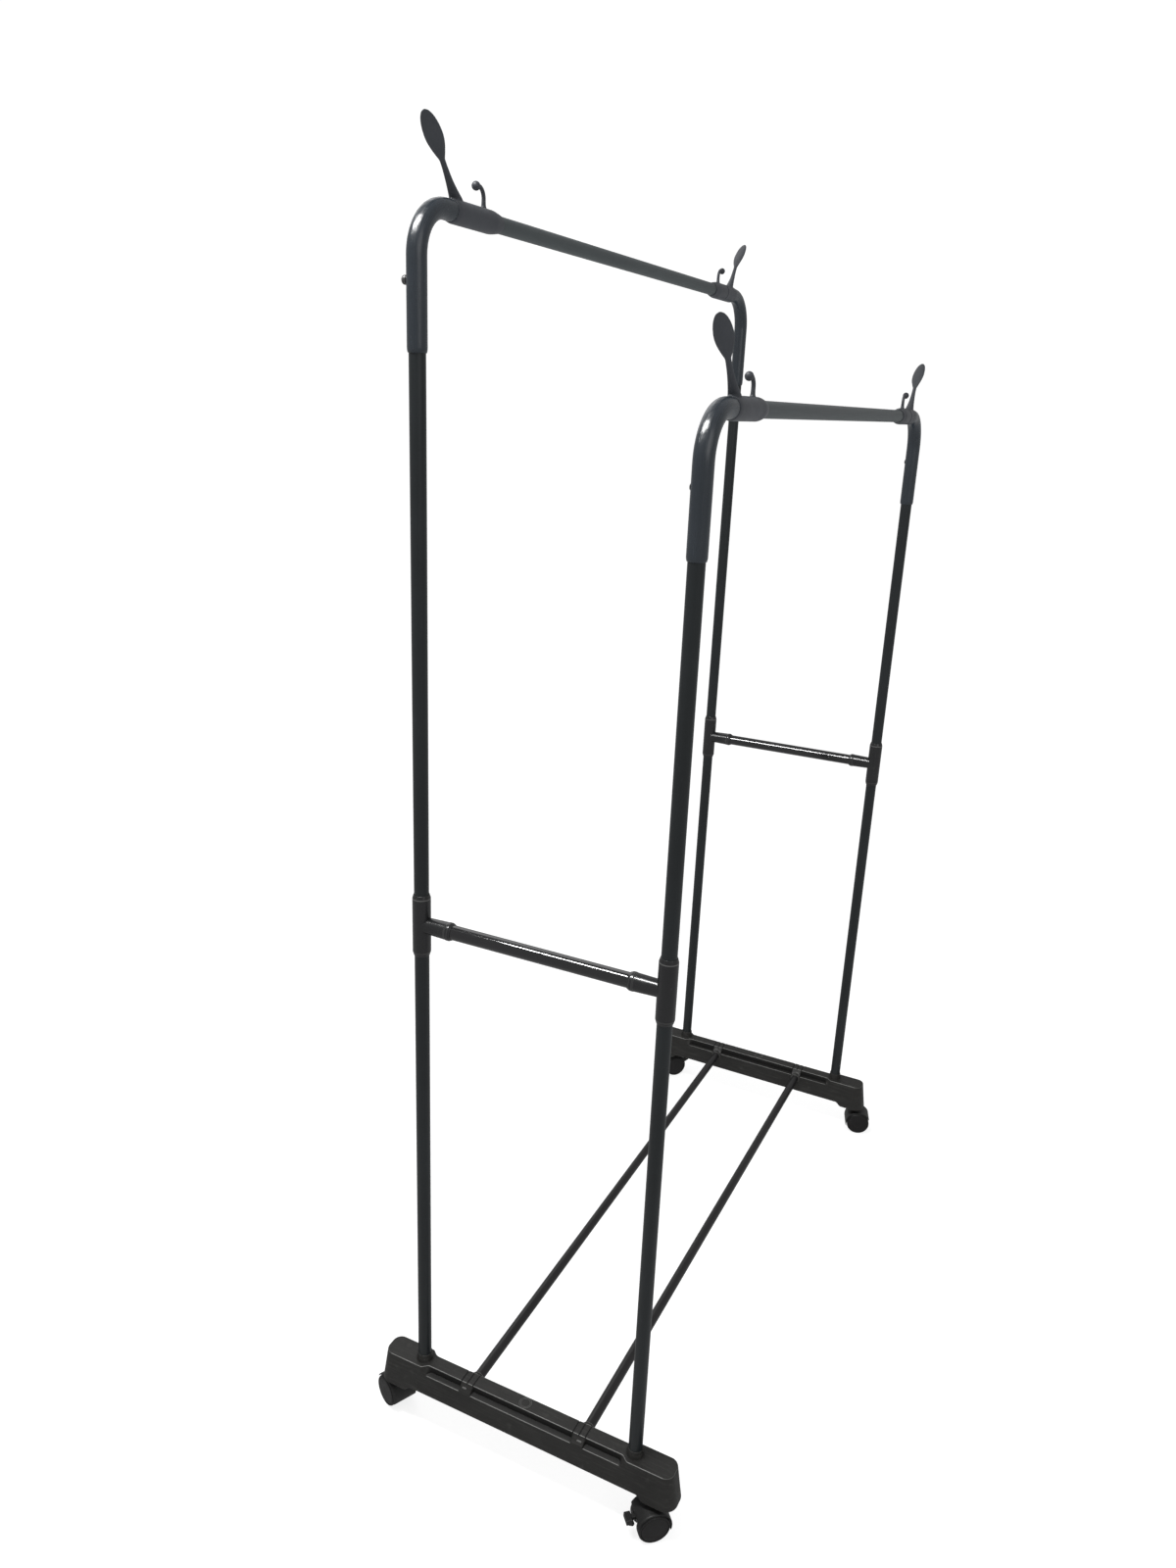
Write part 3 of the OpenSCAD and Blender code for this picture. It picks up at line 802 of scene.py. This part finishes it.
def side_stations(corner_y):
    """Places along one half of the bar that get a column of vertices: closer together where it changes."""
    ys = {0.0, 4.0, 12.0, 24.0, 40.0, 56.0, 68.0, 104.0, 120.0, 134.0, 140.0, 142.5, 144.0}
    ys |= {162.0, 168.0, 172.0, 176.0, 179.0, 182.0, 188.0, 195.0, 201.0, corner_y - 2.6}
    ys |= {NECK_A + (NECK_B - NECK_A) * i / 10 for i in range(11)}
    ys |= {ROD_Y - 5, ROD_Y + 5}
    for line in GROOVES:
        ys |= {line + step for step in (-1.0, -0.55, 0.55, 1.0)}
    for rib_side in (GROOVES[0], GROOVES[2]):
        ys |= {rib_side + step for step in (-1.6, -0.8, 0, 0.8, 1.6)}
    return sorted(ys)


def base_mesh(name, x0, top, end_y, sections=10):
    """The moulded bar as rings of outline stations, from the bottom lip up to the top plate. A station is
    (kind, end, value): a place y on a side, or an angle on a round corner."""
    corner_r, slope, end_draft = 17.0, 4.5, 2.6  # round corners at the foot, and how far they draw in
    corner_x, corner_y = 4.5, end_y - corner_r
    arch, ledge = 61.0, 92.0  # heights of the raised bottom edge and of the recess's foot
    plate_half = 10.0
    wall = 2.6

    def rise(z):
        return (z - FOOT_Z) / (PLATE_Z - FOOT_Z)

    def shape(station):
        """Bottom height, pull of the recess at its foot and at its top, and the groove's share."""
        kind, _, value = station
        if kind == "arc":
            return FOOT_Z, 0.0, 0.0, 0.0
        y = abs(value)
        bottom = arch - (arch - FOOT_Z) * smooth_step(172.0, 182.0, y)
        high = 1.0 - smooth_step(NECK_A, NECK_B, y)
        rib = smooth_step(ROD_Y - 10.2, ROD_Y - 8.2, y) * (1 - smooth_step(ROD_Y + 8.2, ROD_Y + 10.2, y))
        low = (1.0 - smooth_step(NECK_A - 3, NECK_A + 2.5, y)) * (1.0 - rib)
        near = min(abs(y - line) for line in GROOVES)
        return bottom, low, high, 0.9 * (1 - smooth_step(0.5, 1.05, near))

    def point(station, z, inset=0.0, low=0.0, high=0.0, share=0.0):
        """Where the outline at height z passes the station, drawn in by inset and by the recess."""
        kind, end, value = station
        r = corner_r - slope * rise(z) - inset
        if kind == "arc":
            draft = end_draft * rise(z)
            return corner_x + r * math.cos(value), end * (corner_y - draft + r * math.sin(value))
        x = corner_x + r
        pull = low + (high - low) * share
        return x + (plate_half - inset - x) * pull, value

    arc = [math.radians(a) for a in range(9, 91, 9)]
    ordered = side_stations(corner_y)
    stations = [("arc", -1, a) for a in arc[::-1]]
    stations += [("side", 0, -y) for y in ordered[::-1] if y > 0]
    stations += [("side", 0, y) for y in ordered]
    stations += [("arc", 1, a) for a in arc]
    rings, edges = [], []

    def add(ring, edge=None):
        """One more ring: ring gives x, y and z of a station, edge its rub wear, painted highlight or painted
        shade there.
        """
        rings.append([ring(s, *shape(s)) for s in stations])
        edges.append([edge(*shape(s)[1:]) if edge else 0.0 for s in stations])

    def plate_ring(inset, drop, edge):
        """A ring of the plate's rim, drop below its top."""
        z = PLATE_Z
        add(lambda s, b, lo, hi, g: (*point(s, z, inset, lo, hi, 1.0), z - drop - g), edge)

    def shadow(lo, hi, g):
        return -0.75 * lo

    # painted shade in the fine grooves across the plate
    def sunk(lo, hi, g):
        return -1.1 * g

    # painted highlight with rub wear along the plate's rim, turning to painted shade where the grooves cross
    # it
    def rim(lo, hi, g):
        return 1.0 - 2.0 * g

    # inside of the wall, round the bottom lip and up the side
    add(lambda s, b, lo, hi, g: (*point(s, 89.0, wall + 1.2), 89.0))
    add(lambda s, b, lo, hi, g: (*point(s, b + 0.4, wall), b + 0.4))
    add(lambda s, b, lo, hi, g: (*point(s, b, wall - 0.4), b))
    add(lambda s, b, lo, hi, g: (*point(s, b, 1.0), b))
    # the bottom lip's edge gets rub wear with a painted highlight
    add(lambda s, b, lo, hi, g: (*point(s, b, 0.3), b + 0.3), lambda lo, hi, g: 0.25)
    add(lambda s, b, lo, hi, g: (*point(s, b, 0.0), b + 1.0))
    for height in (66.0, 74.0, 82.0, 88.5):
        add(lambda s, b, lo, hi, g, z=height: (*point(s, z), z))
    # over the ledge at the recess's foot
    add(lambda s, b, lo, hi, g: (*point(s, ledge), ledge - 1.2))
    add(lambda s, b, lo, hi, g: (*point(s, ledge, 0.18 * lo), ledge - 0.45))
    # the ledge's outer edge gets a painted highlight line
    add(lambda s, b, lo, hi, g: (*point(s, ledge, 0.6 * lo), ledge - 0.05), lambda lo, hi, g: 0.8 * lo)
    add(lambda s, b, lo, hi, g: (*point(s, ledge, 1.3 * lo), ledge + 0.1))
    # up the recess, which leans in towards the plate
    for share, height in ((0, ledge + 1.0), (0.08, ledge + 1.9), (0.35, 95.8), (0.62, 98.6)):
        add(lambda s, b, lo, hi, g, k=share, z=height: (*point(s, z, 0.0, lo, hi, k), z), shadow)
    add(lambda s, b, lo, hi, g: (*point(s, 101.0, 0.0, lo, hi, 0.86), 101.0 - g), shadow)
    # the plate's rounded rim, with a painted highlight line and rub wear along it
    plate_ring(0.0, 0.95, sunk)
    plate_ring(0.1, 0.5, lambda lo, hi, g: 0.4 * rim(lo, hi, g))
    plate_ring(0.34, 0.16, rim)
    plate_ring(0.8, 0.0, sunk)
    plate_ring(2.2, 0.0, sunk)

    count = len(stations)
    verts, painted_light_and_wear, index = [], [], {}
    for j, (ring, edge) in enumerate(zip(rings, edges)):
        for i, (x, y, z) in enumerate(ring):
            for hand in (1, -1):
                index[j, i, hand] = len(verts)
                verts.append((x0 + hand * x * MM, y * MM, top + (z - PLATE_Z) * MM))
                painted_light_and_wear.append(edge[i] * (0.3 if stations[i][0] == "arc" else 1.0))
    faces = []
    for j in range(len(rings) - 1):
        for i in range(count - 1):
            for hand in (1, -1):
                quad = [(j, i), (j, i + 1), (j + 1, i + 1), (j + 1, i)]
                quad = [index[ring, station, hand] for ring, station in quad]
                faces.append(quad if hand > 0 else quad[::-1])
        for i in (0, count - 1):
            quad = [index[j, i, 1], index[j + 1, i, 1], index[j + 1, i, -1], index[j, i, -1]]
            faces.append(quad if i == 0 else quad[::-1])
    # the first and the last ring close with strips from hand to hand
    for j, flip in ((0, True), (len(rings) - 1, False)):
        rows = []
        for i in range(count):
            a, b = Vector(verts[index[j, i, 1]]), Vector(verts[index[j, i, -1]])
            row = [index[j, i, 1]]
            for k in range(1, sections):
                verts.append(tuple(a.lerp(b, k / sections)))
                painted_light_and_wear.append(min(painted_light_and_wear[index[j, i, 1]], 0.0))
                row.append(len(verts) - 1)
            row.append(index[j, i, -1])
            rows.append(row)
        for one, two in zip(rows, rows[1:]):
            for k in range(sections):
                quad = [one[k], two[k], two[k + 1], one[k + 1]]
                faces.append(quad[::-1] if flip else quad)
    mesh = bpy.data.meshes.new(name)
    mesh.from_pydata(verts, [], faces)
    set_floats(mesh, "edge", painted_light_and_wear)
    return mend(mesh, weld=2e-6)


def rod_nub(name, x, rod_y, top, sy):
    """A small moulded nub on the side, above the rod's end."""
    half = Vector((2.4, 3.6, 1.9)) * MM
    spot = Vector((x, rod_y + 2.2 * MM * sy, top - 6.8 * MM))
    nub = box_mesh(name, spot - half, spot + half, 1.1 * MM)
    # the nub's upper half gets a painted glint
    set_floats(nub, "edge", [0.35 if v.co.z > spot.z else 0.0 for v in nub.vertices])
    return nub


def post_collar(name, place):
    """A tapered collar round the post, rising from a seam darkened with painted shade. It is closed inside
    the post.
    """
    # the seam's edge values below 0 paint shade into the crease
    seam = [(0, -1.2 * MM, 0), (POST_R + 3.2 * MM, -1.2 * MM, -0.8), (POST_R + 3.4 * MM, 0.15 * MM, -0.9)]
    walls = [(3.0, -0.6), (2.4, 0.2), (2.1, 1.0), (1.35, 6.0), (1.15, 10.4)]
    walls += [(0.8, 11.7), (0.1, 11.9), (0.05, 9.0)]
    outline = [(POST_R + wall * MM, h * MM) for wall, h in walls]
    profile = seam + rounded(outline, 0.5 * MM, 3, 0.04) + [(0, 9 * MM, 0)]
    return lathe(name, profile, place, UP, 64)


def rod_socket(name, place, ex):
    """A short socket round the rod's end, on the inner side of the bar."""
    start = 14.0
    walls = ((0.06, start), (0.06, 20.4), (0.9, 20.4), (1.7, 19.4), (2.0, start))
    outline = [(ROD_R + wall * MM, h * MM) for wall, h in walls]
    profile = [(0, start * MM, 0)] + rounded(outline, 0.5 * MM, 3, 0.4) + [(0, start * MM, 0)]
    return lathe(name, profile, place, (-ex, 0, 0), 48)


def base_bar(end):
    """The bar with its nubs, collars, sockets and the bosses inside it for the posts and stems."""
    node = f"base_{end}"
    low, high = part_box(node)
    x0 = (low.x + high.x) / 2
    top = high.z - 12 * MM  # the collars stand 12 mm above the plate
    meshes = [base_mesh(node, x0, top, high.y / MM)]
    rod = centre("floor_rod_left")
    for sy in (1, -1):
        for hand in (1, -1):
            meshes.append(rod_nub(node, x0 + hand * 12.3 * MM, rod.y * sy, top, sy))
    for sy in (1, -1):
        y = centre(f"lower_post_{end}_left").y * sy
        meshes.append(post_collar(node, (x0, y, top)))
        boss = in_mm((0, -41.0), (12, -41.0), (12, -14.5), (0, -14.5))
        meshes.append(lathe(node, boss, (x0, y, top), UP, 40))
        y = centre(f"caster_stem_{end}_left").y * sy
        boss = in_mm((0, -30), (4.1, -30.0), (4.1, -48.2), (7.6, -48.2), (8, -47.5), (8, -14.5), (0, -14.5))
        meshes.append(lathe(node, boss, (x0, y, top), UP, 40))
        meshes.append(rod_socket(node, (x0, rod.y * sy, rod.z), ENDS[end]))
    obj = joined(f"foot_{end}", meshes)
    shade(obj, 42)
    show(obj, "frame", [node], "base_plastic")
    return top


def base_cap(end, top):
    """The round cap in the middle of the plate, with a raised rim."""
    node = f"base_cap_{end}"
    low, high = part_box(node)
    mid = (low + high) / 2
    stretch = (high.z - top) / (0.6 * MM)
    wide = (high.x - low.x) / 2 / MM
    outline = [(-0.8, -1.4), (0, -1.4), (0, 0.28), (-0.3, 0.6), (-0.8, 0.6), (-1.1, 0.25), (-2.6, 0.22)]
    outline = [(wide + r, h) for r, h in outline] + [(0.001, 0.32)]
    outline = [(r * MM, h * MM * stretch) for r, h in outline]
    profile = [(0, -1.4 * MM, 0)] + rounded(outline, 0.3 * MM, 3, 0.35)
    obj = new_object(f"button_{end}", lathe(node, profile, (mid.x, mid.y, top), UP, 56))
    shade(obj, 40)
    show(obj, "frame", [node], "base_plastic")


for end in ENDS:
    plate_top = base_bar(end)
    base_cap(end, plate_top)

# ---------------------------------------------------------------- casters


def half_turn(name, profile, origin, u, w, axis, from_deg, to_deg, steps=40):
    """A closed (radius, across) outline swept part of the way round an axis: u is 0 degrees, w is 90."""
    rings = []
    for i in range(steps + 1):
        a = math.radians(from_deg + (to_deg - from_deg) * i / steps)
        out = u * math.cos(a) + w * math.sin(a)
        rings.append([origin + out * r + axis * h for r, h in profile])
    return grid_mesh(name, rings)


def band(inner, outer, half, edge, n=5):
    """A closed outline for the hood's shell, with round outer edges."""
    angles = np.linspace(0, math.pi / 2, n)
    pts = [(inner, -half), (outer - edge, -half)]
    pts += [(outer - edge + edge * math.sin(a), -half + edge - edge * math.cos(a)) for a in angles[1:]]
    pts += [(outer, half * k) for k in (-0.6, -0.2, 0.2, 0.6)]
    pts += [(outer - edge + edge * math.cos(a), half - edge + edge * math.sin(a)) for a in angles]
    pts += [(inner, half * k) for k in (1, 0.5, 0.0, -0.5)]
    return pts


class Caster:
    """Where one caster stands: its swivel axis, its hub, the wheels' axis, the way out to the hub, sizes."""

    def __init__(self, end, side):
        self.tag = f"{end}_{side}"
        spin = joints[f"wheel_a_spin_{self.tag}"]
        swivel = Vector(joints[f"caster_swivel_{self.tag}"]["pos_m"])
        self.foot = (swivel.x, swivel.y, 0)
        self.hub = Vector(spin["pos_m"])
        self.axis = Vector(spin["axis"]).normalized()
        self.out = Vector((self.hub.x - swivel.x, self.hub.y - swivel.y, 0)).normalized()
        self.wheel_r = thickness(f"wheel_a_{self.tag}", 2)
        self.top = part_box(f"caster_hood_{self.tag}")[1].z


def hood(c):
    """The shell over the wheels, the plate between them and the turning post."""
    node, r = f"caster_hood_{c.tag}", c.wheel_r
    shell = band(r + 1.3 * MM, r + 2.7 * MM, 18.4 * MM, 2.2 * MM)
    web_half = 6.3 * MM
    web_r = r + 1.8 * MM
    disc = in_mm((0, -6.5), (18.2, -6.5), (18.2, 6.5), (0, 6.5))
    web = [(6 * MM, -web_half), (web_r, -web_half), (web_r, web_half), (6 * MM, web_half)]
    post_foot = 24 * MM
    shoulder = c.top - 1.2 * MM
    post = [(0, post_foot, 0), (7.2 * MM, post_foot, 0), (7.6 * MM, shoulder, 0), (7.0 * MM, c.top, 0)]
    meshes = [
        half_turn(node, shell, c.hub, c.out, UP, c.axis, 28, 196),
        lathe(node, disc, c.hub, c.axis, 56),
        half_turn(node, web, c.hub, c.out, UP, c.axis, 32, 196),
        lathe(node, post + [(0, c.top, 0)], c.foot, UP, 40),
    ]
    obj = cast(f"hood_{c.tag}", meshes, voxel=0.5 * MM, smooth=5)
    show(obj, f"caster_{c.tag}", [node], "caster_plastic")


def axle(c):
    node = f"caster_axle_{c.tag}"
    half, r, centre_r = 16.8 * MM, 3 * MM, 0.001 * MM
    profile = rounded([(centre_r, -half), (r, -half), (r, half), (centre_r, half)], 0.4 * MM, 2)
    obj = new_object(f"axle_{c.tag}", lathe(node, profile, c.hub, c.axis, 32))
    shade(obj, 40)
    show(obj, f"caster_{c.tag}", [node], "bare_steel")


def stem(c):
    """The pin pressed into the base, with its flange just above the hood."""
    node = f"caster_stem_{c.tag}"
    low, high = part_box(node)
    flange_low, flange_high = c.top + 0.3 * MM, c.top + 3.9 * MM
    pin = [(0.001, low.z + 0.1 * MM), (3.6, low.z), (4, low.z + 0.5 * MM), (4, flange_low), (6.3, flange_low)]
    pin += [(6.3, flange_high), (4, flange_high), (4, high.z - 0.6 * MM), (3.4, high.z), (0.001, high.z)]
    profile = rounded([(r * MM, z) for r, z in pin], 0.3 * MM, 2)
    obj = new_object(f"stem_{c.tag}", lathe(node, profile, c.foot, UP, 40))
    shade(obj, 40)
    show(obj, "frame", [node], "bare_steel")


def wheel(c, letter, hand):
    """A wheel with two grooves in its tread, a rounded shoulder and a flat face inside a rim groove darkened
    with painted shade.
    """
    node = f"wheel_{letter}_{c.tag}"
    tread = 21.5
    outline = [(3.06, 7.0), (8.0, 7.0), (8.4, 7.6), (17.0, 7.6), (17.6, 7.0), (20.4, 7.0), (21.4, 8.2)]
    for mid in (10.8, 15.1):
        floor_r = tread - 0.35
        outline += [(tread, mid - 0.5), (floor_r, mid - 0.2), (floor_r, mid + 0.2), (tread, mid + 0.5)]
    outline += [(21.4, 17.2), (20.3, 18.75), (19.4, 19.0), (18.9, 18.9)]
    outline += [(18.7, 18.0), (18.1, 18.0), (17.9, 18.55)]
    outline += [(17.0, 18.7), (8.0, 18.75), (0.001, 18.8)]
    outline = [(a * c.wheel_r / tread, b * MM) for a, b in outline]
    profile = rounded(outline, 0.3 * MM, 3, 0.04)
    groove_r, groove_h = c.wheel_r * 18.4 / tread, 17.9 * MM
    # the groove by the rim gets painted shade
    painted_groove_shade = -0.8
    profile = [(a, h, painted_groove_shade if h > groove_h and abs(a - groove_r) < 0.35 * MM else e) for a, h, e in profile]
    profile = in_mm((0, 17.0), (3.06, 17.0)) + profile
    obj = new_object(f"roller_{letter}_{c.tag}", lathe(node, profile, c.hub, c.axis * hand, 96))
    shade(obj, 40)
    show(obj, f"wheel_body_{letter}_{c.tag}", [node], "wheel_plastic")


def pedal(c):
    """The brake lever: an arm on its pivot and a ribbed pedal outside the hood, slanted underneath."""
    node = f"brake_lever_{c.tag}"
    pivot = Vector(joints[f"brake_press_{c.tag}"]["pos_m"])
    turn = Matrix.Translation(c.hub) @ Matrix((c.out, c.axis, UP)).transposed().to_4x4()
    tilt = turn @ Matrix.Translation((25.5 * MM, 0, -4 * MM)) @ Matrix.Rotation(math.radians(-25), 4, "Y")

    def block(low, high, bevel, place):
        return box_mesh(node, Vector(low) * MM, Vector(high) * MM, bevel * MM, place)

    parts = [
        block((10, -3, 5.2), (29, 3, 10.8), 0.8, turn),
        block((25.6, -7.5, 3.4), (34.3, 7.5, 10.8), 1.0, turn),
        block((0.8, -6.9, 3.2), (8.0, 6.9, 8.0), 1.0, tilt),
        lathe(node, in_mm((0, -5.8), (1.5, -5.8), (1.5, 5.8), (0, 5.8)), pivot, c.axis, 24),
    ]
    for rib in (27.4, 29.9, 32.4):
        parts.append(block((rib - 0.5, -6.3, 10.2), (rib + 0.5, 6.3, 11.4), 0.2, turn))
    obj = cast(f"pedal_{c.tag}", parts, voxel=0.4 * MM, smooth=3)
    show(obj, f"brake_{c.tag}", [node], "caster_plastic")


for end, side in CORNERS:
    caster = Caster(end, side)
    hood(caster)
    axle(caster)
    stem(caster)
    wheel(caster, "a", 1)
    wheel(caster, "b", -1)
    if f"brake_press_{caster.tag}" in joints:
        pedal(caster)

# ---------------------------------------------------------------- stage, light and camera

# the floor runs this way, away from the camera, and curves up into a wall
HEADING = Vector((0.9010, 0.4337, 0))
ACROSS = Vector((-HEADING.y, HEADING.x, 0))


def floor_material():
    def build(n):
        place = n.add("ShaderNodeTexCoord").outputs["Object"]
        broad = n.noise(place, scale=1.2, detail=2.0)
        tone = n.mix(n.span(broad, 0.0, 1.0), rgb(0.37, 0.37, 0.37), rgb(0.39, 0.39, 0.39))
        return {"Base Color": tone}

    glow = {"Emission_Color": (1.0, 1.0, 1.0, 1.0), "Emission_Strength": 0.8}
    return finish_material("studio_white", build, Roughness=0.9, Specular_IOR_Level=0.1, **glow)


def backdrop():
    """A white floor that curves up behind the rack. It lights the scene but isn't mirrored in the paint."""
    near, bend_start, bend, wall_top, half_width = -4.5, 4.5, 2.5, 7.0, 9.0
    steps = 12
    rows = [(near + (bend_start - near) * i / steps, 0.0) for i in range(steps)]
    for i in range(steps + 1):
        a = math.pi / 2 * i / steps
        rows.append((bend_start + bend * math.sin(a), bend - bend * math.cos(a)))
    rows.append((bend_start + bend, wall_top))
    grid = [[HEADING * d + ACROSS * s + UP * h for s in (-half_width, 0, half_width)] for d, h in rows]
    floor = new_object("studio_floor", grid_mesh("studio_floor", grid, closed_ends=False, around=False))
    floor.data.shade_smooth()
    floor.data.materials.append(floor_material())
    floor.visible_glossy = False


def area(name, place, aim, size, power):
    """A rectangular lamp: size is its width and its length, and the length lies along Y."""
    light = bpy.data.lights.new(name, "AREA")
    light.shape, light.size, light.size_y = "RECTANGLE", size[0], size[1]
    light.energy = power
    obj = new_object(name, light)
    back = (Vector(place) - Vector(aim)).normalized()
    long = Vector((0, 1, 0)) - back * back.y
    long.normalize()
    turn = Matrix((long.cross(back), long, back)).transposed()
    obj.matrix_world = Matrix.Translation(place) @ turn.to_4x4()
    return obj


backdrop()

world = bpy.data.worlds.new("studio")
bpy.context.scene.world = world
world.use_nodes = True
sky = world.node_tree.nodes["Background"]
sky.inputs["Color"].default_value = (1.0, 1.0, 1.0, 1.0)
sky.inputs["Strength"].default_value = 0.42

# a narrow lamp over the near end draws the long highlights; a twin that lights only gloss makes them bright
area("lamp", (-1.0, 0.5, 2.6), (-0.49, 0.0, 0.9), (0.18, 0.9), 26)
glint = area("glint", (-1.0, 0.5, 2.62), (-0.49, 0.0, 0.9), (0.18, 0.9), 34)
glint.visible_diffuse = False
area("fill", (-1.8, -2.6, 2.6), (0, 0, 0.7), (2.2, 2.2), 20)
area("back", (1.6, 2.2, 3.0), (0, 0, 0.6), (2.4, 2.4), 20)

# the camera's place and directions were fitted to the photo's straight tube edges
cam = bpy.data.cameras.new("camera")
cam.sensor_width = 36.0
cam.lens = 26.015
cam.clip_start, cam.clip_end = 0.05, 60.0
cam_obj = new_object("camera", cam)
cam_place = (-1.5222, -0.5511, 1.3652)
cam_right = Vector((0.44521767, -0.89455629, 0.03937346))
cam_up = Vector((0.267175, 0.17468391, 0.94768299))
cam_back = Vector((-0.85463369, -0.41140561, 0.31677544))
cam_turn = Matrix((cam_right, cam_up, cam_back)).transposed()
cam_obj.matrix_world = Matrix.Translation(cam_place) @ cam_turn.to_4x4()
bpy.context.scene.camera = cam_obj
bpy.context.scene.view_settings.view_transform = "Standard"
